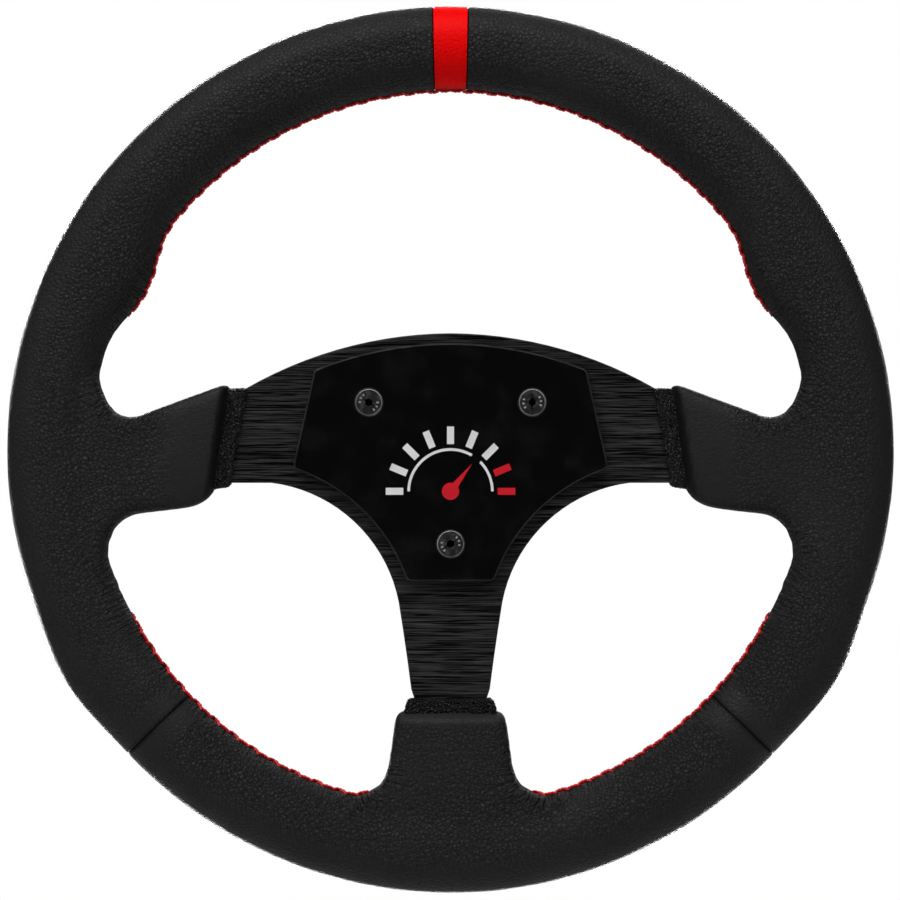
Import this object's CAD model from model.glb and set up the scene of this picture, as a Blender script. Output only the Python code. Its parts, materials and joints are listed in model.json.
import bmesh
import bpy
import json
import math
from mathutils import Matrix, Vector, noise
from mathutils.bvhtree import BVHTree
from mathutils.kdtree import KDTree

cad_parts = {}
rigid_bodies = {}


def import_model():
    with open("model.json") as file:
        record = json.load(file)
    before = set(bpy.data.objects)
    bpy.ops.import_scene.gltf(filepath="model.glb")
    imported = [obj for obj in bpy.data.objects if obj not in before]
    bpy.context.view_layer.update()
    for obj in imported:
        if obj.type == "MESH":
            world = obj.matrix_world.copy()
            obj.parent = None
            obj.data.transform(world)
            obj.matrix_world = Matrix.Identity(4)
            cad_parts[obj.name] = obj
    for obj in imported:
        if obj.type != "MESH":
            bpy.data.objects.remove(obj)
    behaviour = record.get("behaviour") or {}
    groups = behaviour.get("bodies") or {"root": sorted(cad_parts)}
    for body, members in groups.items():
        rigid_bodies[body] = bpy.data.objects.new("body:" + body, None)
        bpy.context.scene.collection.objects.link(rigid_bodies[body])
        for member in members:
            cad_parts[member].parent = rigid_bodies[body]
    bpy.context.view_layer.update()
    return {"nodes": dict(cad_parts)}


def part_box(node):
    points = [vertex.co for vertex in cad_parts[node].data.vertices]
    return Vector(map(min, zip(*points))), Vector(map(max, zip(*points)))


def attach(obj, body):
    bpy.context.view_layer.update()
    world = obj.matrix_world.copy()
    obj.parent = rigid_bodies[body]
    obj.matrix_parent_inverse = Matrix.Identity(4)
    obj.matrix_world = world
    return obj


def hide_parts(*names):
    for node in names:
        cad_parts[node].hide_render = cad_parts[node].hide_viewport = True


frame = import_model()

mm = 0.001


def box(node):
    low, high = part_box(node)
    return Vector(low), Vector(high)


def radiusOf(point):
    return math.hypot(point.x, point.z)


def smoothStep(low, high, value):
    t = min(1.0, max(0.0, (value - low) / (high - low)))
    return t * t * (3 - 2 * t)


def nodeName(name):
    # the CAD node's name, such as cuff_left for cuffLeft
    return "".join("_" + c.lower() if c.isupper() else c for c in name)


def linked(name, data):
    thing = bpy.data.objects.new(name, data)
    bpy.context.scene.collection.objects.link(thing)
    return thing


def addPiece(name, mesh, material, nodes=(), smooth=True):
    # a finished piece: at the origin, riding on the one body
    mesh.name = name
    piece = linked(name, mesh)
    mesh.materials.clear()
    mesh.materials.append(material)
    if smooth:
        mesh.shade_smooth()
    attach(piece, "root")
    if nodes:
        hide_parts(*nodes)
    return piece


def meshFrom(bm, name, keepNormals=False):
    if not keepNormals:
        bmesh.ops.recalc_face_normals(bm, faces=bm.faces)
    mesh = bpy.data.meshes.new(name)
    bm.to_mesh(mesh)
    bm.free()
    return mesh


def remeshed(mesh, cell):
    # one closed skin around a mesh
    holder = linked("holder", mesh)
    modifier = holder.modifiers.new("skin", "REMESH")
    modifier.mode = "VOXEL"
    modifier.voxel_size = cell
    modifier.adaptivity = 0.0
    result = bpy.data.meshes.new_from_object(holder.evaluated_get(bpy.context.evaluated_depsgraph_get()))
    bpy.data.objects.remove(holder)
    bm = bmesh.new()
    bm.from_mesh(result)
    return bm


def smoothed(bm, verts, passes):
    for _ in range(passes):
        bmesh.ops.smooth_vert(bm, verts=verts, factor=0.5, use_axis_x=True, use_axis_y=True, use_axis_z=True)


def bevelled(bm, geom, offset, segments, affect="EDGES"):
    bmesh.ops.bevel(bm, geom=geom, offset=offset, offset_type="OFFSET", segments=segments, profile=0.5,
                    affect=affect, material=-1)


def cutAway(bm, point, normal):
    # drops what lies on the normal's side of a plane
    bmesh.ops.bisect_plane(bm, geom=list(bm.verts) + list(bm.edges) + list(bm.faces), plane_co=point,
                           plane_no=normal, clear_outer=True, dist=1e-7)


def newVerts(grown):
    return [g for g in grown["geom"] if isinstance(g, bmesh.types.BMVert)]


def setInputs(node, values):
    for label, value in values.items():
        node.inputs[label].default_value = value


def groupStart(name, values, outputs):
    # a group with a vector input, and numbers for its other inputs and its outputs
    tree = bpy.data.node_groups.new(name, "ShaderNodeTree")
    tree.interface.new_socket("Vector", in_out="INPUT", socket_type="NodeSocketVector")
    for label, value in values.items():
        socket = tree.interface.new_socket(label, in_out="INPUT", socket_type="NodeSocketFloat")
        socket.default_value = value
    for label in outputs:
        tree.interface.new_socket(label, in_out="OUTPUT", socket_type="NodeSocketFloat")
    return tree, tree.nodes.new("NodeGroupInput").outputs, tree.nodes.new("NodeGroupOutput").inputs


def wire(output, socket):
    socket.id_data.links.new(output, socket)


def mathNode(operation, first, second=None):
    node = first.id_data.nodes.new("ShaderNodeMath")
    node.operation = operation
    wire(first, node.inputs[0])
    if isinstance(second, float):
        node.inputs[1].default_value = second
    elif second is not None:
        wire(second, node.inputs[1])
    return node.outputs[0]


def rangeNode(value, fromMin, fromMax, toMin, toMax):
    node = value.id_data.nodes.new("ShaderNodeMapRange")
    node.interpolation_type = "SMOOTHSTEP"
    setInputs(node, {"From Min": fromMin, "From Max": fromMax, "To Min": toMin, "To Max": toMax})
    wire(value, node.inputs["Value"])
    return node.outputs["Result"]


def noiseNode(vector, scale, detail, output="Fac"):
    node = vector.id_data.nodes.new("ShaderNodeTexNoise")
    node.inputs["Detail"].default_value = detail
    if isinstance(scale, float):
        node.inputs["Scale"].default_value = scale
    else:
        wire(scale, node.inputs["Scale"])
    wire(vector, node.inputs["Vector"])
    return node.outputs[output]


def cellNode(vector, scale, feature):
    node = vector.id_data.nodes.new("ShaderNodeTexVoronoi")
    node.feature = feature
    wire(scale, node.inputs["Scale"])
    wire(vector, node.inputs["Vector"])
    return node


def stretchedNoise(vector, scale, detail):
    node = vector.id_data.nodes.new("ShaderNodeMapping")
    node.inputs["Scale"].default_value = scale
    wire(vector, node.inputs["Vector"])
    return noiseNode(node.outputs["Vector"], 1.0, detail)


def leatherGroup():
    # pebbles, the creases between them, fine pores and slow unevenness
    tree, start, end = groupStart("leatherGrain", {"Pebble Scale": 620.0, "Pebble Depth": 1.0},
                                  ("Height", "Crease", "Blotch"))
    vector, scale = start["Vector"], start["Pebble Scale"]
    warp = noiseNode(vector, 420.0, 2.0, "Color")
    shifted = tree.nodes.new("ShaderNodeMixRGB")
    shifted.blend_type = "LINEAR_LIGHT"
    shifted.inputs["Fac"].default_value = 0.0009
    wire(vector, shifted.inputs["Color1"])
    wire(warp, shifted.inputs["Color2"])
    cells = cellNode(shifted.outputs["Color"], scale, "SMOOTH_F1")
    cells.inputs["Smoothness"].default_value = 0.35
    edges = cellNode(shifted.outputs["Color"], scale, "DISTANCE_TO_EDGE")
    crease = rangeNode(edges.outputs["Distance"], 0.0, 0.16, 1.0, 0.0)
    dome = mathNode("MULTIPLY", cells.outputs["Distance"], -0.75)
    height = mathNode("ADD", dome, mathNode("MULTIPLY", crease, -0.45))
    height = mathNode("MULTIPLY", height, start["Pebble Depth"])
    height = mathNode("ADD", height, mathNode("MULTIPLY", noiseNode(vector, 2600.0, 2.0), 0.22))
    wire(height, end["Height"])
    wire(crease, end["Crease"])
    wire(noiseNode(vector, 55.0, 3.0), end["Blotch"])
    return tree


def brushedGroup():
    # long scratches from side to side, in three widths
    tree, start, end = groupStart("brushedLines", {}, ("Height", "Streak"))
    vector = start["Vector"]
    layers = (((38, 38, 3000), 3), ((24, 24, 4200), 2), ((60, 60, 1900), 3))
    medium, fine, broad = [stretchedNoise(vector, scale, detail) for scale, detail in layers]
    broad = mathNode("MULTIPLY", rangeNode(broad, 0.49, 0.6, 0.0, 1.0), 0.45)
    line = rangeNode(medium, 0.5, 0.59, 0.0, 1.0)
    streak = mathNode("ADD", broad, mathNode("MULTIPLY", line, 0.55))
    height = mathNode("ADD", fine, mathNode("MULTIPLY", line, 0.8))
    wire(height, end["Height"])
    wire(streak, end["Streak"])
    return tree


def dustGroup():
    # faint dust and handling marks
    tree, start, end = groupStart("handlingMarks", {"Scale": 90.0}, ("Mask", "Fine"))
    vector = start["Vector"]
    broad = noiseNode(vector, start["Scale"], 6.0)
    wire(rangeNode(broad, 0.4, 0.75, 0.0, 1.0), end["Mask"])
    wire(noiseNode(vector, 3400.0, 2.0), end["Fine"])
    return tree


def edgeGroup():
    # 1 on bevels and other faces turned away from the flat front and back
    tree, start, end = groupStart("wornEdges", {"Wear": 0.6}, ("Mask",))
    facing = tree.nodes.new("ShaderNodeNewGeometry")
    split = tree.nodes.new("ShaderNodeSeparateXYZ")
    wire(facing.outputs["True Normal"], split.inputs["Vector"])
    turned = rangeNode(mathNode("ABSOLUTE", split.outputs["Y"]), 0.93, 0.75, 0.0, 1.0)
    upright = rangeNode(mathNode("ABSOLUTE", split.outputs["Y"]), 0.05, 0.2, 0.0, 1.0)
    worn = rangeNode(noiseNode(start["Vector"], 160.0, 3.0), 0.3, 0.6, 0.55, 1.0)
    mask = mathNode("MULTIPLY", mathNode("MULTIPLY", turned, upright), worn)
    wire(mathNode("MULTIPLY", mask, start["Wear"]), end["Mask"])
    return tree


groups = {"edges": edgeGroup(), "leather": leatherGroup(), "brushed": brushedGroup(), "marks": dustGroup()}


class Finish:
    # one material being wired up
    def __init__(self, name, color, roughness, metallic=0.0, specular=0.5):
        self.material = bpy.data.materials.new(name)
        self.material.use_nodes = True
        self.tree = self.material.node_tree
        self.shader = self.tree.nodes["Principled BSDF"]
        setInputs(self.shader, {"Base Color": (*color, 1.0), "Roughness": roughness, "Metallic": metallic,
                                "Specular IOR Level": specular})
        self.place = self.tree.nodes.new("ShaderNodeTexCoord").outputs["Object"]

    def group(self, kind, values):
        node = self.tree.nodes.new("ShaderNodeGroup")
        node.node_tree = groups[kind]
        setInputs(node, values)
        wire(self.place, node.inputs["Vector"])
        return node

    def colorBetween(self, factor, dark, light):
        mix = self.tree.nodes.new("ShaderNodeMix")
        mix.data_type = "RGBA"
        if isinstance(dark, bpy.types.NodeSocket):
            wire(dark, mix.inputs["A"])
        else:
            mix.inputs["A"].default_value = (*dark, 1.0)
        mix.inputs["B"].default_value = (*light, 1.0)
        wire(factor, mix.inputs["Factor"])
        wire(mix.outputs["Result"], self.shader.inputs["Base Color"])
        return mix.outputs["Result"]

    def roughnessBetween(self, factor, low, high):
        wire(rangeNode(factor, 0.0, 1.0, low, high), self.shader.inputs["Roughness"])

    def bump(self, height, distance, strength=1.0, under=None):
        node = self.tree.nodes.new("ShaderNodeBump")
        setInputs(node, {"Strength": strength, "Distance": distance})
        wire(height, node.inputs["Height"])
        if under is not None:
            wire(under, node.inputs["Normal"])
        wire(node.outputs["Normal"], self.shader.inputs["Normal"])
        return node.outputs["Normal"]


def attributeNode(tree, name, output="Fac"):
    node = tree.nodes.new("ShaderNodeAttribute")
    node.attribute_name = name
    return node.outputs[output]


leathers = {
    "charcoalLeather": {
        "dark": (0.0132, 0.0129, 0.0134), "light": (0.0196, 0.0193, 0.0198), "pebble": 680.0,
        "depth": 0.00095, "wrinkle": 0.0010, "roughness": (0.44, 0.62), "specular": 0.17,
    },
    "redBandLeather": {
        "dark": (0.72, 0.0003, 0.0006), "light": (0.97, 0.0004, 0.0010), "pebble": 950.0, "depth": 0.00016,
        "wrinkle": 0.0002, "roughness": (0.42, 0.55), "specular": 0.05,
    },
}


def makeLeather(name, look):
    finish = Finish(name, look["dark"], 0.5, specular=look["specular"])
    tree = finish.tree
    grain = finish.group("leather", {"Pebble Scale": look["pebble"]})
    creased = mathNode("MULTIPLY", grain.outputs["Crease"], 0.4)
    worn = mathNode("ADD", grain.outputs["Blotch"], creased)
    color = finish.colorBetween(worn, look["light"], look["dark"])
    shade = attributeNode(tree, "shade")
    finish.colorBetween(shade, color, [0.22 * c for c in look["dark"]])
    finish.roughnessBetween(mathNode("MAXIMUM", worn, shade), *look["roughness"])
    lay, fold = attributeNode(tree, "lay", "Vector"), attributeNode(tree, "fold")
    ridges = rangeNode(stretchedNoise(lay, (820, 75, 1), 1.5), 0.36, 0.64, 0.0, 1.4)
    ridges = mathNode("ADD", ridges, stretchedNoise(lay, (330, 60, 1), 1.0))
    under = finish.bump(mathNode("MULTIPLY", ridges, fold), look["wrinkle"])
    quiet = mathNode("MAXIMUM", attributeNode(tree, "calm"), mathNode("MULTIPLY", fold, 0.7))
    level = rangeNode(quiet, 0.0, 1.0, 1.15, 0.14)
    finish.bump(mathNode("MULTIPLY", grain.outputs["Height"], level), look["depth"], under=under)
    return finish.material


# which output of each group drives colour, roughness and bump
drivers = {
    "leather": ("Crease", "Blotch", "Height"),
    "brushed": ("Streak", "Streak", "Height"),
    "marks": ("Mask", "Mask", "Fine"),
}
finishes = {
    "gatheredCuffLeather": {
        "base": (0.006, 0.006, 0.0063), "specular": 0.2, "group": "leather",
        "values": {"Pebble Scale": 900.0, "Pebble Depth": 1.5}, "roughness": (0.30, 0.46),
        "colors": ((0.0150, 0.0148, 0.0154), (0.0040, 0.0040, 0.0043)), "bump": (0.0011, 1.0),
    },
    "brushedBlackPlate": {
        "base": (0.006, 0.006, 0.0065), "specular": 0.14, "group": "brushed",
        "colors": ((0.0004, 0.0004, 0.0005), (0.046, 0.045, 0.047)), "worn": ((0.05, 0.05, 0.052), 0.6),
        "roughness": (0.30, 0.52), "bump": (0.00006, 0.6),
    },
    "glossBlackCover": {
        "base": (0.004, 0.004, 0.0045), "coat": (0.12, 0.08),
        "colors": ((0.0012, 0.0012, 0.0014), (0.0026, 0.0026, 0.0030)),
        "worn": ((0.042, 0.043, 0.045), 0.7), "roughness": (0.14, 0.24), "bump": (0.000006, 0.5),
    },
    "whiteVinyl": {
        "base": (0.84, 0.84, 0.84), "roughness": (0.32, 0.46),
        "colors": ((0.84, 0.84, 0.84), (0.70, 0.70, 0.70)), "bump": (0.00001, 0.5),
    },
    "redVinyl": {
        "base": (0.66, 0.010, 0.022), "roughness": (0.32, 0.46),
        "colors": ((0.66, 0.010, 0.022), (0.50, 0.004, 0.012)), "bump": (0.00001, 0.5),
    },
    "blackenedScrew": {
        "base": (0.012, 0.012, 0.013), "specular": 0.6, "values": {"Scale": 500.0},
        "colors": ((0.012, 0.012, 0.013), (0.050, 0.050, 0.052)), "worn": ((0.34, 0.34, 0.35), 0.95),
        "roughness": (0.28, 0.42), "bump": (0.00002, 0.6),
    },
    "rubbedSteel": {
        "base": (0.30, 0.30, 0.31), "specular": 0.6, "values": {"Scale": 600.0},
        "colors": ((0.34, 0.34, 0.35), (0.16, 0.16, 0.17)),
    },
    "plainAluminium": {
        "base": (0.55, 0.55, 0.56), "metallic": 1.0, "roughness": (0.3, 0.45), "bump": (0.00002, 0.5),
    },
    "darkFoam": {
        "base": (0.02, 0.02, 0.02), "plainRoughness": 0.9, "values": {"Scale": 300.0},
        "colors": ((0.016, 0.016, 0.016), (0.030, 0.030, 0.030)), "bump": (0.0001, 0.8),
    },
    "darkTape": {
        "base": (0.002, 0.002, 0.002), "specular": 0.05, "values": {"Scale": 400.0},
        "roughness": (0.85, 0.95),
    },
    "waxedRedThread": {
        "base": (0.52, 0.006, 0.010), "values": {"Scale": 700.0},
        "colors": ((0.72, 0.003, 0.006), (0.40, 0.001, 0.003)), "roughness": (0.36, 0.52),
        "bump": (0.00006, 0.8),
    },
    "paleStudio": {
        "base": (0.93, 0.93, 0.93), "plainRoughness": 0.9, "specular": 0.1, "values": {"Scale": 4.0},
        "colors": ((0.94, 0.94, 0.94), (0.91, 0.91, 0.91)), "glow": 0.75,
    },
}


def makeFinish(name, look):
    finish = Finish(name, look["base"], look.get("plainRoughness", 0.4), look.get("metallic", 0.0),
                    look.get("specular", 0.5))
    kind = look.get("group", "marks")
    detail = finish.group(kind, look.get("values", {}))
    forColor, forRoughness, forBump = (detail.outputs[label] for label in drivers[kind])
    if "colors" in look:
        color = finish.colorBetween(forColor, *look["colors"])
    if "worn" in look:  # lighter bevels
        worn, wear = look["worn"]
        finish.colorBetween(finish.group("edges", {"Wear": wear}).outputs["Mask"], color, worn)
    if "roughness" in look:
        finish.roughnessBetween(forRoughness, *look["roughness"])
    if "bump" in look:
        finish.bump(forBump, *look["bump"])
    if "coat" in look:
        setInputs(finish.shader, {"Coat Weight": look["coat"][0], "Coat Roughness": look["coat"][1]})
    if "glow" in look:  # white to the camera, without lighting the object
        finish.shader.inputs["Emission Strength"].default_value = look["glow"]
        ray = finish.tree.nodes.new("ShaderNodeLightPath")
        wire(ray.outputs["Is Camera Ray"], finish.shader.inputs["Emission Color"])
    return finish.material


materials = {name: makeLeather(name, look) for name, look in leathers.items()}
materials.update({name: makeFinish(name, look) for name, look in finishes.items()})
print("materials made:", len(materials))

# the grip is one body for rim and wings, cut into leather panels further on
grip = {
    "width": 31.6 * mm,
    "thumbSwell": 5.8 * mm,
    "thumbAngle": 27.5,
    "palmSwell": 2.1 * mm,
    "palmAngle": -31.0,
    "swellHalfSpan": 12.0,
    "voxel": 1.3 * mm,
    "smoothPasses": 6,
    "wingPasses": 8,
    "rootPasses": 30,
    "skin": 1.0 * mm,
    "buttAngles": (223.3, 316.7),
    "buttGroove": 0.26 * mm,
    "lip": 1.1 * mm,
    "lipUnder": 0.34 * mm,
    "bandHalfTop": 6.75 * mm,
    "bandHalfInner": 6.0 * mm,
}
leatherLow, leatherHigh = box("leather_upper_left")
midY = (leatherLow.y + leatherHigh.y) / 2
halfDepth = (leatherHigh.y - leatherLow.y) / 2
outerRadius = box("centre_band")[1].z
innerRadius = outerRadius - grip["width"]
midRadius = (outerRadius + innerRadius) / 2


def angleOf(point):
    return math.degrees(math.atan2(point.z, point.x)) % 360


def swell(angle, centre):
    away = abs((angle - centre + 180) % 360 - 180)
    if away >= grip["swellHalfSpan"]:
        return 0.0
    return math.cos(away / grip["swellHalfSpan"] * math.pi / 2) ** 2


def gripEdges(angle):
    thumb = swell(angle, grip["thumbAngle"]) + swell(angle, 180 - grip["thumbAngle"])
    palm = swell(angle, grip["palmAngle"]) + swell(angle, 180 - grip["palmAngle"])
    return innerRadius - grip["thumbSwell"] * thumb, outerRadius + grip["palmSwell"] * palm


def bend(start, corner, stop, steps=7):
    # a rounded corner, from one straight stretch to the next
    points = []
    for i in range(steps + 1):
        t = i / steps
        shares = ((1 - t) ** 2, 2 * t * (1 - t), t * t)
        points.append(tuple(sum(k * v for k, v in zip(shares, place)) for place in zip(start, corner, stop)))
    return points


wings = {
    "left": [(-81.0, 25.4)] + bend((-116.5, 12.2), (-127.0, 8.6), (-131.3, 27.0)) + [(-146, 30), (-146, -42)]
    + bend((-128.2, -41.0), (-127.1, -22.6), (-112.5, -23.6))
    + [(-95.5, -21.4), (-90.6, -18.9), (-86.8, -14.4)],
    "bottom": [(-20.2, -97.0), (20.2, -97.0)] + bend((22.9, -117), (24.0, -127.6), (35, -128.6))
    + [(36, -142), (-36, -142)] + bend((-35, -128.6), (-24.0, -127.6), (-22.9, -117)),
}
wings["right"] = [(-x, z) for x, z in reversed(wings["left"])]
wingShape = {
    "endHalfDepth": 8.4 * mm, "rootHalfDepth": 10.0 * mm, "edge": 2.2 * mm, "endAt": 95 * mm,
    "rootAt": 132 * mm, "cornerRound": 2.4 * mm, "rollReach": 3.8 * mm, "rollFlat": 0.38, "pillow": 0.16,
}
wingEnds = {"left": ((-81.0, 25.4), (-86.8, -14.4)), "bottom": ((20.2, -97.0), (-20.2, -97.0))}
# each wing's middle line, and its half width where it ends and further out
wingLines = {"left": ((-83.9, 5.5), (-110, -4.4), 20, 19), "right": ((83.9, 5.5), (110, -4.4), 20, 19),
             "bottom": ((0, -97), (0, -119), 20.3, 23)}
wingEnds["right"] = tuple((-x, z) for x, z in reversed(wingEnds["left"]))


def addRing(bm):
    circle = bmesh.ops.create_circle(bm, segments=72, radius=1.0)
    verts = circle["verts"]
    bmesh.ops.scale(bm, vec=(grip["width"] / 2, halfDepth, 1), verts=verts)
    bmesh.ops.translate(bm, vec=(midRadius, midY, 0), verts=verts)
    section = verts + list({e for v in verts for e in v.link_edges})
    bmesh.ops.spin(bm, geom=section, cent=(0, 0, 0), axis=(0, 1, 0), angle=math.tau, steps=360,
                   use_merge=True)
    for vert in bm.verts:  # draw the section in or out at the swells
        radius = radiusOf(vert.co)
        inner, outer = gripEdges(angleOf(vert.co))
        share = (radius - innerRadius) / grip["width"]
        wanted = inner + share * (outer - inner)
        vert.co.x *= wanted / radius
        vert.co.z *= wanted / radius


def addWing(bm, outline):
    verts = [bm.verts.new((x * mm, midY - wingShape["endHalfDepth"], z * mm)) for x, z in outline]
    face = bm.faces.new(verts)
    corners = [v for v in verts if radiusOf(v.co) < (101 if abs(v.co.x) < 22 * mm else 90) * mm]
    bevelled(bm, corners, wingShape["cornerRound"], 3, "VERTICES")
    face = [f for f in bm.faces if len(f.verts) > 12][-1]
    rear = newVerts(bmesh.ops.extrude_face_region(bm, geom=[face]))
    bmesh.ops.translate(bm, vec=(0, 2 * wingShape["endHalfDepth"], 0), verts=rear)
    rims = [e for e in {e for v in set(rear) | set(face.verts) for e in v.link_edges}
            if abs(e.verts[0].co.y - e.verts[1].co.y) < 1e-6]
    bevelled(bm, rims, wingShape["edge"], 2)
    for vert in bm.verts:  # thicker towards the rim
        t = smoothStep(wingShape["endAt"], wingShape["rootAt"], radiusOf(vert.co))
        factor = 1 + t * (wingShape["rootHalfDepth"] / wingShape["endHalfDepth"] - 1)
        vert.co.y = midY + (vert.co.y - midY) * factor


def wingWeight(point):
    # 1 where a wing grows out of the rim, fading to 0
    best = 0.0
    radius = radiusOf(point)
    for centre, span in ((184.0, 17.0), (356.0, 17.0), (270.0, 15.0)):
        away = abs((angleOf(point) - centre + 180) % 360 - 180)
        best = max(best, 1 - smoothStep(span * 0.6, span, away))
    return best * smoothStep(0.112, 0.124, radius) * (1 - smoothStep(0.148, 0.156, radius))


def makeGripBody():
    parts = []
    for build in [addRing] + [lambda bm, outline=outline: addWing(bm, outline) for outline in wings.values()]:
        bm = bmesh.new()
        build(bm)
        parts.append(meshFrom(bm, "gripPart"))
    bm = bmesh.new()
    for part in parts:
        bm.from_mesh(part)
        bpy.data.meshes.remove(part)
    bm = remeshed(meshFrom(bm, "gripRaw", keepNormals=True), grip["voxel"])
    smoothed(bm, bm.verts, grip["smoothPasses"])
    flat = [v for v in bm.verts if radiusOf(v.co) < innerRadius - 8 * mm]
    smoothed(bm, flat, grip["wingPasses"])
    weights = [(wingWeight(v.co), v) for v in bm.verts]
    for i in range(grip["rootPasses"]):
        smoothed(bm, [v for w, v in weights if w > i / grip["rootPasses"]], 1)
    for (x1, z1), (x2, z2), half1, half2 in wingLines.values():  # lower towards the windows
        start, stop = Vector((x1, 0, z1)) * mm, Vector((x2, 0, z2)) * mm
        span = (stop - start).length
        along = (stop - start) / span
        across = along.cross(Vector((0, 1, 0)))
        for vert in bm.verts:
            t = (vert.co - start).dot(along) / span
            away = abs((vert.co - start).dot(across)) / (half1 + (half2 - half1) * t) / mm
            if -0.4 < t < 1.6 and away < 1.3:
                fade = 1 - smoothStep(0.7, 1.5, t)
                vert.co.y = midY + (vert.co.y - midY) * (1 - wingShape["pillow"] * fade * min(1, away) ** 2.2)
    for (x1, z1), (x2, z2) in wingEnds.values():  # roll the wing's end over
        start, stop = Vector((x1, 0, z1)) * mm, Vector((x2, 0, z2)) * mm
        inward = Vector((0, -1, 0)).cross(stop - start).normalized()
        if inward.dot(start) < 0:
            inward = -inward
        for vert in bm.verts:
            reach = (vert.co - start).dot(inward)
            if -3 * mm < reach < wingShape["rollReach"] and (vert.co - (start + stop) / 2).length < 34 * mm:
                t = 1 - max(0.0, reach) / wingShape["rollReach"]
                factor = wingShape["rollFlat"] + (1 - wingShape["rollFlat"]) * (1 - t ** 1.5)
                vert.co.y = midY + (vert.co.y - midY) * factor
    bm.normal_update()
    return bm


gripBody = makeGripBody()
print("grip body:", len(gripBody.verts), "points")

# the stitch, repeated along the seams
seam = {
    "repeat": 9.0 * mm,
    "bar": 4.3 * mm,
    "side": 1.7 * mm,
    "groove": 0.55 * mm,
    "grooveWidth": 1.3 * mm,
    "holeDepth": 0.25 * mm,
    "pucker": 0.22 * mm,
    "sampleStep": 0.6 * mm,
}
surface = BVHTree.FromBMesh(gripBody)


class Route:
    # a line on the grip, with its normal and its side direction at each sample
    def __init__(self, points, sideHint):
        dense = [points[0]]
        for a, b in zip(points, points[1:]):
            count = max(1, round((b - a).length / seam["sampleStep"]))
            dense += [a.lerp(b, (i + 1) / count) for i in range(count)]
        placed = [surface.find_nearest(p) for p in dense]
        self.co = [hit[0] for hit in placed]
        for _ in range(6):
            inner = [(a + b * 2 + c) / 4 for a, b, c in zip(self.co, self.co[1:], self.co[2:])]
            self.co = [self.co[0]] + inner + [self.co[-1]]
        self.normal, self.tangent, self.side = [], [], []
        last = len(self.co) - 1
        for i in range(len(self.co)):
            around = range(max(0, i - 3), min(last + 1, i + 4), 2)
            hits = [surface.find_nearest(self.co[j])[1] for j in around]
            self.normal.append(sum(hits, Vector()).normalized())
            self.tangent.append((self.co[min(i + 1, last)] - self.co[max(i - 1, 0)]).normalized())
        for n, t in zip(self.normal, self.tangent):
            side = n.cross(t).normalized()
            self.side.append(side if side.dot(sideHint) >= 0 else -side)
        self.along = [0.0]
        for a, b in zip(self.co, self.co[1:]):
            self.along.append(self.along[-1] + (b - a).length)
        self.length = self.along[-1]
        repeats = max(1, round(self.length / seam["repeat"]))
        self.fit = self.length / (repeats * seam["repeat"])  # the lacing ends where the seam does

    def at(self, s, sideways, lift):
        i = min(range(len(self.along)), key=lambda k: abs(self.along[k] - s)) if s > 0 else 0
        extra = self.tangent[i] * (s - self.along[i])
        return self.co[i] + extra + self.side[i] * sideways + self.normal[i] * lift


def ringPoint(angle, turned):
    # a point on the inner edge of the grip, turned round the section towards the rear
    inner, outer = gripEdges(angle)
    across, middle = (outer - inner) / 2, (outer + inner) / 2
    radius = middle - across * math.cos(math.radians(turned))
    y = midY + halfDepth * math.sin(math.radians(turned))
    return Vector((radius * math.cos(math.radians(angle)), y, radius * math.sin(math.radians(angle))))


def ringRoute(start, stop, turnAt):
    # along the inner edge, starting to turn to the rear by a wing
    points = []
    for i in range(65):
        angle = start + (stop - start) * i / 64
        points.append(ringPoint(angle, 18 * (1 - smoothStep(0, 2.5, abs(angle - turnAt)))))
    return points


def mirroredX(points):
    return [Vector((-p.x, p.y, p.z)) for p in points]


rearY = midY + wingShape["rootHalfDepth"]


def routePoints():
    # on the left and the bottom; the right is the left mirrored
    rearTurn = 46.0
    upperTail = [ringPoint(157.7 + k * 0.9, min(rearTurn, 29 + 6 * k)) for k in range(12)]
    lowerTail = [ringPoint(207.1 - k * 0.9, min(rearTurn, 29 + 6 * k)) for k in range(11, -1, -1)]
    root = [Vector((-134.5 * mm, rearY, z * mm)) for z in (22, 14, 6, -2, -10, -18, -26, -33)]
    footTail = [ringPoint(257.7 + k * 0.7, min(rearTurn, 27 + 7 * k)) for k in range(7)]
    foot = [Vector((x * mm, rearY, -134.5 * mm)) for x in (-14, -8, 0)]
    return {
        "threadUpper": ringRoute(90.02, 157.4, 157.4),
        "rearRoot": upperTail + root + lowerTail,
        "rearWing": [Vector((-131.5 * mm, rearY, -5.5 * mm)), Vector((-112 * mm, rearY, -1.4 * mm)),
                     Vector((-91.0 * mm, midY + wingShape["endHalfDepth"], 2.6 * mm))],
        "threadLower": ringRoute(207.4, 257.4, 207.4),
        "rearFoot": footTail + foot,
    }


# the side that each left-hand seam shows its bars on
barSides = {"threadUpper": (0, -1, 0), "threadLower": (0, -1, 0), "rearRoot": (-1, 0, 0),
            "rearWing": (0, 0, 1), "rearFoot": (0, 0, -1)}
routes = {}
for name, points in routePoints().items():
    hint = Vector(barSides[name])
    routes[name + "Left"] = Route(points, hint)
    routes[name + "Right"] = Route(mirroredX(points), mirroredX([hint])[0])
footLine = [Vector((0, rearY, -131.5 * mm)), Vector((0, midY + wingShape["endHalfDepth"], -98.6 * mm))]
routes["rearWingBottom"] = Route(footLine, Vector((1, 0, 0)))
print("seam routes:", len(routes))

folds = {"reach": 12 * mm, "rearReach": 11 * mm, "depth": 0.3 * mm, "everywhere": 0.3}


def bandEdge(point):
    # signed distance from the centre band's edge, at the top only
    t = (radiusOf(point) - innerRadius) / grip["width"]
    half = grip["bandHalfInner"] + t * (grip["bandHalfTop"] - grip["bandHalfInner"])
    return abs(point.x) - half if point.z > 0.1 else 1.0


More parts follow.
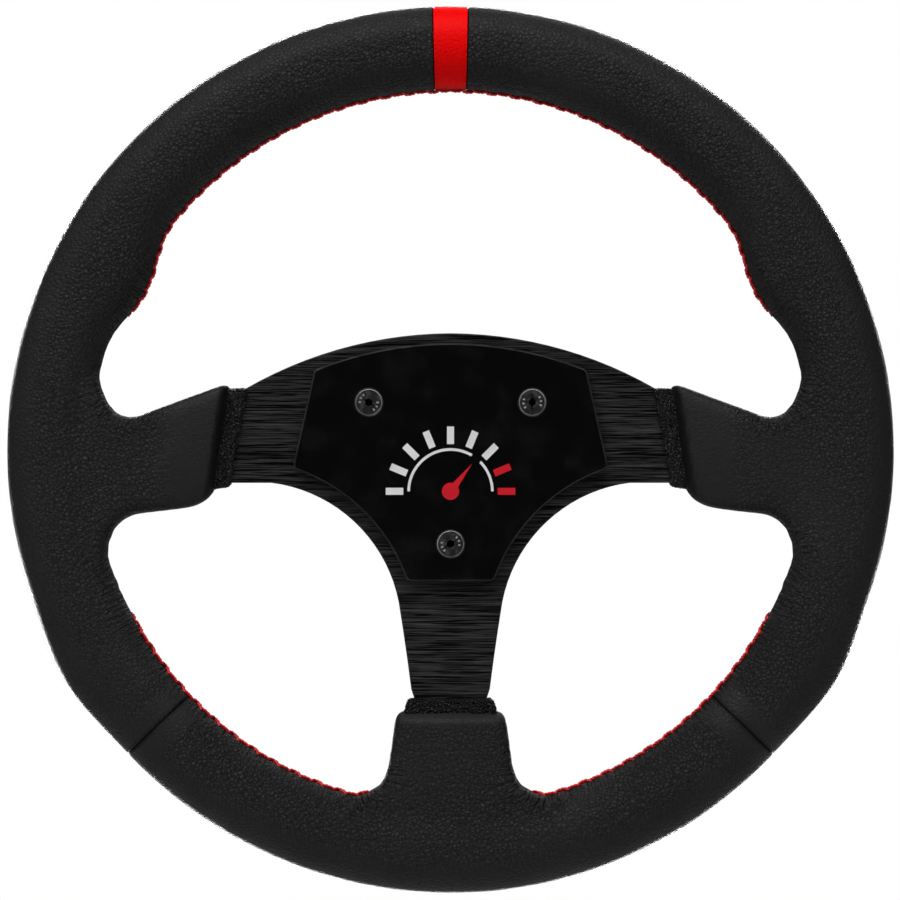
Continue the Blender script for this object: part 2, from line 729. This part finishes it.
def buttEdge(point):
    best = 1.0
    for angle in grip["buttAngles"]:
        away = math.radians((angleOf(point) - angle + 180) % 360 - 180)
        if abs(away) < 0.1:
            best = min(best, abs(away) * radiusOf(point))
    return best


def windowSamples():
    # points along the window edges of the left side, with the length run so far
    left, foot = wings["left"], wings["bottom"]
    rim = [(a, gripEdges(a)[0] / mm) for a in range(90, 255, 2)]
    rim = [(a, (r * math.cos(math.radians(a)), r * math.sin(math.radians(a)))) for a, r in rim]
    upper = [p for a, p in rim if a < 167] + left[:9][::-1]
    lower = left[11:][::-1] + [p for a, p in rim if a > 198] + foot[-8:] + [foot[0]]
    samples, run = [], 0.0
    for path in (upper, lower):
        for (x1, z1), (x2, z2) in zip(path, path[1:]):
            a, b = Vector((x1, 0, z1)) * mm, Vector((x2, 0, z2)) * mm
            count = max(1, round((b - a).length / mm))
            for i in range(count):
                samples.append((a.lerp(b, i / count), (b - a).normalized(), run + (b - a).length * i / count))
            run += (b - a).length
        run += 0.05
    return samples


def gathered(point):
    # how much the leather is gathered, by its place along a window's edge
    angle = angleOf(point)
    x, z = abs(point.x) / mm, point.z / mm
    return max(
        swell(angle, grip["thumbAngle"]), swell(angle, 180 - grip["thumbAngle"]),
        0.8 * (1 - smoothStep(6, 24, math.hypot(x - 125, z - 17))),
        1 - smoothStep(12, 30, math.hypot(x - 125, z + 50)),
        1 - smoothStep(6, 20, math.hypot(x - 29, z + 126)),
    )


def calmness(point, radius, across, strong):
    # smoother leather at wing ends, by the butt seams and along both edges
    patches = 0.5 + 0.9 * noise.noise(point * 30)
    wingFrom, wingTo = (0.098, 0.122) if abs(point.x) > 0.05 else (0.101, 0.108)
    onWing = 1 - smoothStep(wingFrom, wingTo, radius)
    butt = 0.9 * (1 - smoothStep(0.005, 0.014, buttEdge(point)))
    onRim = smoothStep(0.118, 0.132, radius)
    inner = 0.9 * (1 - smoothStep(0.006, 0.012, across)) * (1 - strong) * onRim
    outer = 0.7 * smoothStep(0.147, 0.158, radius)
    return min(1.0, max(onWing, butt, inner, outer, patches * 0.6))


def shading(point, across, strong):
    # darker leather along the window edges, where the wings end and at the butt seams
    (x1, z1), (x2, z2) = wingEnds["left"]
    dx, dz = x2 - x1, z2 - z1
    reach = abs(dx * (point.z / mm - z1) - dz * (-abs(point.x) / mm - x1)) / math.hypot(dx, dz)
    ended = 1 - smoothStep(3.4, 4.6, reach) if abs(point.x) < 0.095 and -0.05 < point.z < 0.05 else 0.0
    edge = 0.75 * (1 - strong) * (1 - smoothStep(0.001, 0.010, across))
    return max(ended, edge, 1 - smoothStep(0.0004, 0.0014, buttEdge(point)))


def treeOf(points):
    tree = KDTree(len(points))
    for k, point in enumerate(points):
        tree.insert(point, k)
    tree.balance()
    return tree


def seamSamples():
    return [(name, i) for name, route in routes.items() for i in range(len(route.co))]


def holesOf(name):
    # stitch holes in one repeat, along and to the side
    bar, side, repeat = seam["bar"], seam["side"], seam["repeat"]
    return [(0, side), (bar, side), (repeat, side), ((bar + repeat) / 2, -side)]


def refineNearSeams(bm, tree):
    near = [e for e in bm.edges if tree.find((e.verts[0].co + e.verts[1].co) / 2)[2] < 4.2 * mm]
    bmesh.ops.subdivide_edges(bm, edges=near, cuts=1, use_grid_fill=True)
    bm.normal_update()


def shapeLeather(bm):
    samples, edgeSamples = seamSamples(), windowSamples()
    tree = treeOf([routes[name].co[i] for name, i in samples])
    edgeTree = treeOf([point for point, _, _ in edgeSamples])
    refineNearSeams(bm, tree)
    layLayer = bm.verts.layers.float_vector.new("lay")
    labels = ("fold", "calm", "shade")
    foldLayer, calmLayer, shadeLayer = [bm.verts.layers.float.new(label) for label in labels]
    moves = []
    for vert in bm.verts:
        co, normal = vert.co, vert.normal
        radius = radiusOf(co)
        flat = Vector((-abs(co.x), 0, co.z))
        _, k, away = edgeTree.find(flat)
        edgePoint, edgeTangent, run = edgeSamples[k]
        along, across = run + (flat - edgePoint).dot(edgeTangent), away + abs(co.y - midY)
        vert[layLayer] = (along, across, 0)
        _, k, distance = tree.find(co)
        name, i = samples[k]
        route = routes[name]
        offset = co - route.co[i]
        sideways, s = offset.dot(route.side[i]), route.along[i] + offset.dot(route.tangent[i])
        beyond = max(0.0, -s, s - route.length)
        push = 0.0
        if distance < 7 * mm:
            fade = 1 - smoothStep(0, 2 * mm, beyond)
            push -= seam["groove"] * fade * math.exp(-((sideways / seam["grooveWidth"]) ** 2))
            phase = s / route.fit % seam["repeat"]
            for holeAlong, holeSide in holesOf(name):
                gap = math.hypot(phase - holeAlong, sideways - holeSide)
                push -= seam["holeDepth"] * fade * math.exp(-((gap / (0.9 * mm)) ** 2))
            swelling = math.exp(-(((abs(sideways) - 3.0 * mm) / (1.4 * mm)) ** 2))
            wave = 0.5 - 0.5 * math.cos(math.tau * 2 * s / route.fit / seam["repeat"])
            push += seam["pucker"] * fade * swelling * wave
        # folds run away from the window's edge, and from the rear seams
        strong = gathered(edgePoint)
        level = folds["everywhere"] + (1 - folds["everywhere"]) * strong
        reach = folds["reach"] * (1 + 1.1 * strong)
        amount = level * (1 - smoothStep(reach * 0.25, reach, across)) * smoothStep(0.098, 0.112, radius)
        if name.startswith("rear"):
            level = smoothStep(0, 0.005, co.y - midY) * folds["everywhere"]
            amount = max(amount, level * math.exp(-((distance / folds["rearReach"]) ** 2)))
        ripple = noise.noise(Vector((along * 330, across * 50, 0)))
        push += folds["depth"] * amount * ripple
        slow = noise.noise(co * 42) * 0.16 * mm + noise.noise(co * 110) * 0.07 * mm
        push += slow * smoothStep(0.093, 0.100, radius)
        edge = min(abs(bandEdge(co)), buttEdge(co))
        push -= grip["buttGroove"] * math.exp(-((edge / (0.6 * mm)) ** 2))
        vert[foldLayer] = min(1.0, amount * 1.2)
        vert[calmLayer] = calmness(co, radius, across, strong)
        vert[shadeLayer] = shading(co, across, strong)
        moves.append(normal * push)
    for vert, move in zip(bm.verts, moves):
        vert.co += move
    bm.normal_update()


shapeLeather(gripBody)
print("leather shaped:", len(gripBody.faces), "faces")


def bandPlane(side, gap):
    # the plane along one edge of the centre band
    top = Vector((side * (grip["bandHalfTop"] + gap), 0, outerRadius))
    inner = Vector((side * (grip["bandHalfInner"] + gap), 0, innerRadius))
    along = (top - inner).normalized()
    return top, Vector((side * along.z, 0, -side * along.x))


def buttPlane(angle, gap, wantsHigher):
    # the radial plane at a butt seam; the normal points to the side that is kept
    a = math.radians(angle)
    normal = Vector((-math.sin(a), 0, math.cos(a))) * (1 if wantsHigher else -1)
    return normal * gap, normal


def thicken(piece, thickness):
    shell = piece.modifiers.new("thickness", "SOLIDIFY")
    shell.thickness = thickness
    shell.offset = -1.0


def cutPanel(name, planes, material, under=grip["lipUnder"]):
    bm = gripBody.copy()
    for point, keep in planes:
        cutAway(bm, point, -keep)
    rims = [e for e in bm.edges if e.is_boundary]
    for vert in newVerts(bmesh.ops.extrude_edge_only(bm, edges=rims)):  # turn the cut edge in
        away = Vector((vert.co.x, 0, vert.co.z)).normalized() * midRadius
        away.y = midY
        vert.co += (away - vert.co).normalized() * grip["lip"]
        nearest = min(planes, key=lambda plane: abs((vert.co - plane[0]).dot(plane[1])))
        vert.co -= nearest[1] * under
    mesh = meshFrom(bm, name, keepNormals=True)
    thicken(addPiece(name, mesh, material, [nodeName(name)]), grip["skin"])


seamGap, buttGap = 0.24 * mm, 0.26 * mm
firstButt, lastButt = grip["buttAngles"]
leatherPanels = {
    "leatherUpperLeft": [bandPlane(-1, seamGap), buttPlane(firstButt, buttGap, False)],
    "leatherUpperRight": [bandPlane(1, seamGap), buttPlane(lastButt, buttGap, True)],
    "leatherBottom": [buttPlane(firstButt, buttGap, True), buttPlane(lastButt, buttGap, False)],
}
for panelName, planes in leatherPanels.items():
    cutPanel(panelName, planes, materials["charcoalLeather"])


tape = {"halfWidth": 1.1 * mm, "reach": 60 * mm, "under": 0.3 * mm, "thickness": 0.4 * mm}


def cutLining(name, point, keep):
    # dark tape under a seam
    bm = gripBody.copy()
    for side in (-1, 1):
        cutAway(bm, point + keep * side * tape["halfWidth"], keep * side)
    far = [v for v in bm.verts if (v.co - point).length > tape["reach"]]
    bmesh.ops.delete(bm, geom=far, context="VERTS")
    bm.normal_update()
    for vert, normal in [(v, v.normal.copy()) for v in bm.verts]:
        vert.co -= normal * tape["under"]
    mesh = meshFrom(bm, name, keepNormals=True)
    thicken(addPiece(name, mesh, materials["darkTape"]), tape["thickness"])


for tapeName, side in {"bandTapeLeft": -1, "bandTapeRight": 1}.items():
    cutLining(tapeName, *bandPlane(side, 0))
for tapeName, angle in {"buttTapeLeft": firstButt, "buttTapeRight": lastButt}.items():
    a = math.radians(angle)
    cutLining(tapeName, Vector((math.cos(a), 0, math.sin(a))) * midRadius, buttPlane(angle, 0, True)[1])
bandCuts = [(point, -keep) for point, keep in (bandPlane(-1, -seamGap), bandPlane(1, -seamGap))]
bandCuts.append((Vector((0, 0, 0.1)), Vector((0, 0, 1))))
cutPanel("centreBand", bandCuts, materials["redBandLeather"], under=0)
print("leather panels cut")

# the lacing is a two-strand thread in and out of the seam
thread = {"strand": 0.36 * mm, "twistRadius": 0.27 * mm, "twistPitch": 2.6 * mm, "lift": 0.42 * mm,
          "sink": 0.4 * mm, "fewest": 6}


def lacePatterns():
    # one repeat on the front, a bar beside the seam and a V across it, and its partner on the far side
    bar, repeat, lift, sink = seam["bar"], seam["repeat"], thread["lift"], thread["sink"]
    tip = (bar + repeat) / 2
    front, rear = [], []
    for stitches, side in ((front, seam["side"]), (rear, -seam["side"])):
        stitches += [(0.0, side, -sink), (0.5 * mm, side, lift * 0.8), (bar / 2, side * 1.05, lift),
                     (bar - 0.5 * mm, side, lift * 0.8), (bar, side, -sink)]
    side = seam["side"]
    front += [(bar + 0.6 * mm, side * 0.55, lift), (tip - 0.8 * mm, -side * 0.45, lift), (tip, -side, -sink),
              (tip + 0.8 * mm, -side * 0.45, lift), (repeat - 0.6 * mm, side * 0.55, lift)]
    rear += [(bar + 0.9 * mm, -side * 0.6, lift * 0.3), (tip, -side * 0.1, -sink),
             (repeat - 0.9 * mm, -side * 0.6, lift * 0.3)]
    return (front, 0.0), (rear, repeat / 2)


def lacePath(route, pattern, shift):
    points = []
    repeats = round(route.length / route.fit / seam["repeat"])
    for r in range(repeats):
        base = r * seam["repeat"]
        points += [route.at((shift + base + s) * route.fit, v, lift) for s, v, lift in pattern
                   if shift + base + s < repeats * seam["repeat"]]
    return points


def curveMesh(name, kind, lines, **settings):
    curve = bpy.data.curves.new(name, "CURVE")
    curve.dimensions = "3D"
    for key, value in settings.items():
        setattr(curve, key, value)
    for line in lines:
        spline = curve.splines.new(kind)
        spline.points.add(len(line) - 1)
        for place, point in zip(spline.points, line):
            place.co = (*point, 1.0)
        if kind == "NURBS":
            spline.order_u = 3
            spline.use_endpoint_u = True
    holder = bpy.data.objects.new(name, curve)
    mesh = bpy.data.meshes.new_from_object(holder)
    bpy.data.objects.remove(holder)
    return mesh


def smoothLine(points):
    # evenly spread points along the thread's own smooth line
    mesh = curveMesh("laceLine", "NURBS", [points], resolution_u=5)
    line = [v.co.copy() for v in mesh.vertices]
    bpy.data.meshes.remove(mesh)
    return line


def strandsOf(line):
    # two strands twisted about the line
    up, travelled = Vector((0, -1, 0)), 0.0
    strands = ([], [])
    for i, point in enumerate(line):
        if i:
            travelled += (point - line[i - 1]).length
        direction = (line[min(i + 1, len(line) - 1)] - line[max(i - 1, 0)]).normalized()
        up = (up - direction * up.dot(direction)).normalized()
        turn = Matrix.Rotation(math.tau * travelled / thread["twistPitch"], 3, direction)
        reach = (turn @ up) * thread["twistRadius"]
        strands[0].append(point + reach)
        strands[1].append(point - reach)
    return strands


def makeThread(name, jobs):
    strands = []
    for route in jobs:
        for pattern, shift in lacePatterns():
            points = lacePath(route, pattern, shift)
            if len(points) >= thread["fewest"]:
                strands += strandsOf(smoothLine(points))
    mesh = curveMesh(name, "POLY", strands, bevel_depth=thread["strand"], bevel_resolution=1,
                     use_fill_caps=True)
    addPiece(name, mesh, materials["waxedRedThread"], [nodeName(name)])


threads = {}
for side in ("Left", "Right"):
    for place in ("threadUpper", "threadLower"):
        threads[place + side] = (place + side,)
    threads["threadRear" + side] = ("rearRoot" + side, "rearWing" + side)
threads["threadRearBottom"] = ("rearFootLeft", "rearFootRight", "rearWingBottom")
for name, parts in threads.items():
    makeThread(name, [routes[part] for part in parts])
print("lacing done")

cuffs = {"halfDepth": 4.5 * mm, "edge": 1.3 * mm, "cell": 0.5 * mm, "crumple": 0.85 * mm}
cuffCorners = {
    "cuffLeft": [(-75.1, 22.9), (-86.0, 22.6), (-92.0, -15.4), (-81.7, -14.0)],
    "cuffRight": [(75.1, 22.9), (81.7, -14.0), (92.0, -15.4), (86.0, 22.6)],
    "cuffBottom": [(-16.0, -92.4), (-19.0, -103.0), (19.0, -103.0), (16.0, -92.4)],
}


def makeCuff(name, corners):
    # a collar gathered around its spoke
    bm = bmesh.new()
    face = bm.faces.new([bm.verts.new((x * mm, midY - cuffs["halfDepth"], z * mm)) for x, z in corners])
    rear = newVerts(bmesh.ops.extrude_face_region(bm, geom=[face]))
    bmesh.ops.translate(bm, vec=(0, 2 * cuffs["halfDepth"], 0), verts=rear)
    bevelled(bm, list(bm.edges), cuffs["edge"], 3)
    bm = remeshed(meshFrom(bm, name), cuffs["cell"])
    smoothed(bm, bm.verts, 4)
    bm.normal_update()
    moves = []
    for vert in bm.verts:
        coarse = 1 - 2.4 * abs(noise.noise(vert.co * 260))
        middle = 1 - 2.4 * abs(noise.noise(vert.co * 620 + Vector((3, 1, 7))))
        moves.append(vert.normal * cuffs["crumple"] * (coarse * 0.55 + middle * 0.4 - 0.75))
    for vert, move in zip(bm.verts, moves):
        vert.co += move
    addPiece(name, meshFrom(bm, name), materials["gatheredCuffLeather"], [nodeName(name)])


for cuffName, corners in cuffCorners.items():
    makeCuff(cuffName, corners)
print("cuffs done")

screw = {
    "headRadius": 5.0 * mm, "headLand": 0.3 * mm, "rim": 0.34 * mm, "mouthBevel": 0.22 * mm,
    "neck": 2.2 * mm, "thread": 2.5 * mm, "root": 2.08 * mm, "pitch": 0.8 * mm, "socketFlats": 3.0 * mm,
    "socketDepth": 1.8 * mm, "segments": 48, "markAt": 3.3 * mm, "markStep": 27,
    "markSize": (0.85 * mm, 0.16 * mm, 0.62 * mm),
    "marks": {"screwUpperLeft": 152, "screwUpperRight": 8, "screwBottom": 20},
}


def edgesOf(verts):
    chosen = set(verts)
    return [e for e in {e for v in chosen for e in v.link_edges} if chosen.issuperset(e.verts)]


def makeScrew(name):
    # a countersunk head with a worn rim, hexagon socket and rolled thread
    low, high = box(nodeName(name))
    centre = (low + high) / 2
    headY, tipY = low.y, high.y
    neckY = headY + screw["headLand"] + screw["headRadius"] - screw["neck"]
    threadStart, threadStop = 0.5 * mm, tipY - 0.6 * mm
    profile = [(screw["headRadius"] - screw["rim"], headY), (screw["headRadius"], headY + screw["rim"]),
               (screw["headRadius"], headY + screw["headLand"]), (screw["neck"], neckY),
               (screw["neck"], threadStart)]
    steps = round((threadStop - threadStart) / (screw["pitch"] / 8))
    profile += [(screw["root"], threadStart + (threadStop - threadStart) * (i + 1) / steps)
                for i in range(steps)]
    profile += [(screw["root"] * 0.8, tipY), (0, tipY)]
    bm = bmesh.new()
    line = [bm.verts.new((centre.x + radius, y, centre.z)) for radius, y in profile]
    edges = [bm.edges.new(pair) for pair in zip(line, line[1:])]
    bmesh.ops.spin(bm, geom=line + edges, cent=centre, axis=(0, 1, 0), angle=math.tau,
                   steps=screw["segments"], use_merge=True)
    bmesh.ops.remove_doubles(bm, verts=bm.verts, dist=1e-6)
    for vert in bm.verts:  # the thread winds up the shank
        if threadStart < vert.co.y < tipY - 0.1 * mm:
            turn = math.atan2(vert.co.z - centre.z, vert.co.x - centre.x) / math.tau
            wave = abs((vert.co.y / screw["pitch"] + turn) % 1 - 0.5) * 2
            fade = (smoothStep(0, screw["pitch"], vert.co.y - threadStart)
                    * smoothStep(0, screw["pitch"], tipY - vert.co.y))
            wanted = screw["root"] + (screw["thread"] - screw["root"]) * min(1, wave * 1.25) * fade
            reach = Vector((vert.co.x - centre.x, 0, vert.co.z - centre.z))
            vert.co += reach.normalized() * (wanted - reach.length)
    outer = [e for e in bm.edges if e.is_boundary]
    corner = screw["socketFlats"] / math.sqrt(3)
    turned = Matrix.Translation((centre.x, headY, centre.z)) @ Matrix.Rotation(math.pi / 2, 4, "X")
    hexagon = bmesh.ops.create_circle(bm, segments=6, radius=corner, matrix=turned)["verts"]
    bmesh.ops.subdivide_edges(bm, edges=edgesOf(hexagon), cuts=screw["segments"] // 6 - 1)
    mouth = [e for e in bm.edges if e.is_wire]
    floorVerts = newVerts(bmesh.ops.extrude_edge_only(bm, edges=mouth))
    bmesh.ops.translate(bm, vec=(0, screw["socketDepth"], 0), verts=floorVerts)
    bmesh.ops.bridge_loops(bm, edges=outer + mouth)
    bmesh.ops.holes_fill(bm, edges=[e for e in bm.edges if e.is_boundary], sides=0)
    inside = [e for e in bm.edges if all(abs(v.co.y - headY) < 1e-6 and
                                         (v.co - centre).xz.length < corner * 1.01 for v in e.verts)]
    bevelled(bm, inside, screw["mouthBevel"], 1)
    piece = addPiece(name, meshFrom(bm, name), materials["blackenedScrew"],
                     [nodeName(name)], smooth=False)
    for polygon in piece.data.polygons:
        polygon.use_smooth = polygon.center.y > threadStart
    marksAt = Vector((centre.x, headY, centre.z))
    bm = bmesh.new()
    for side in (0, 180):  # raised marks, three on each side of the socket
        for k in (-1, 0, 1):
            angle = math.radians(screw["marks"][name] + side + k * screw["markStep"])
            place = marksAt + Vector((math.cos(angle), 0, math.sin(angle))) * screw["markAt"]
            turned = Matrix.Translation(place) @ Matrix.Rotation(-angle, 4, "Y")
            bmesh.ops.create_cube(bm, size=1, matrix=turned @ Matrix.Diagonal((*screw["markSize"], 1)))
    name += "Marks"
    addPiece(name, meshFrom(bm, name), materials["rubbedSteel"], smooth=False)


for screwName in screw["marks"]:
    makeScrew(screwName)
print("screws done")

# CAD pieces that keep their own shape
cadFinishes = {
    "spoke_plate": "brushedBlackPlate", "cover_plate": "glossBlackCover", "cover_pad": "darkFoam",
    "emblem_white": "whiteVinyl", "emblem_red": "redVinyl", "rim_ring": "plainAluminium",
    "ring_rivets": "plainAluminium", "foam_core": "darkFoam",
}
for node, finishName in cadFinishes.items():
    for slotPlace in frame["nodes"][node].material_slots:
        slotPlace.material = materials[finishName]

studio = {"floorZ": -0.56, "radius": 3.3}


def makeStudio():
    bm = bmesh.new()
    bmesh.ops.create_circle(bm, cap_ends=True, segments=96, radius=studio["radius"],
                            matrix=Matrix.Translation((0, 0, studio["floorZ"])))
    mesh = meshFrom(bm, "studioFloor")
    mesh.materials.append(materials["paleStudio"])
    linked("studioFloor", mesh)


def addLight(name, place, target, size, energy, spread=180):
    data = bpy.data.lights.new(name, "AREA")
    data.shape = "RECTANGLE"
    data.size, data.size_y = size
    data.energy = energy
    data.spread = math.radians(spread)
    light = linked(name, data)
    light.location = place
    light.visible_camera = False
    light.rotation_euler = (Vector(target) - Vector(place)).to_track_quat("-Z", "Y").to_euler()


def makeLights():
    addLight("overheadSoftbox", (-0.25, -0.75, 1.6), (0, 0, 0), (1.6, 0.8), 27)
    addLight("upperLeftSoftbox", (-1.2, -1.2, 1.3), (0, 0, 0), (0.8, 0.9), 9)
    addLight("upperRightSoftbox", (1.1, -1.2, 1.2), (0, 0, 0), (0.7, 0.9), 6)
    for k in range(8):  # narrow lights behind, each aimed at its own stretch of the outer edge
        angle = math.radians(22.5 + 45 * k)
        x, z = math.cos(angle), math.sin(angle)
        addLight("edgeLight%d" % k, (0.33 * x, 0.42, 0.33 * z), (0.170 * x, 0, 0.170 * z), (0.22, 0.08),
                 0.075 + 0.03 * z - 0.02 * x, spread=26)
    addLight("rearSoftbox", (0.3, 1.7, 1.1), (0, 0, 0), (1.4, 1.0), 9)
    world = bpy.data.worlds.new("studioWorld")
    bpy.context.scene.world = world
    world.use_nodes = True
    tree = world.node_tree
    ray = tree.nodes.new("ShaderNodeLightPath")  # white behind the object, dim in its reflections
    tree.nodes["Background"].inputs["Color"].default_value = (1, 1, 1, 1)
    strength = rangeNode(ray.outputs["Is Camera Ray"], 0.0, 1.0, 0.03, 1.0)
    wire(strength, tree.nodes["Background"].inputs["Strength"])


cameraSettings = {"distance": 1.6, "halfView": 167.4 * mm, "aimX": -0.19 * mm, "aimZ": -0.19 * mm,
                  "sensor": 36.0}


def makeCamera():
    data = bpy.data.cameras.new("camera")
    data.sensor_width = cameraSettings["sensor"]
    data.lens = cameraSettings["sensor"] / 2 * cameraSettings["distance"] / cameraSettings["halfView"]
    camera = linked("camera", data)
    camera.location = (cameraSettings["aimX"], midY - cameraSettings["distance"], cameraSettings["aimZ"])
    camera.rotation_euler = (math.pi / 2, 0, 0)
    bpy.context.scene.camera = camera


makeStudio()
makeLights()
makeCamera()
bpy.context.scene.view_settings.view_transform = "Standard"
gripBody.free()
print("studio ready")
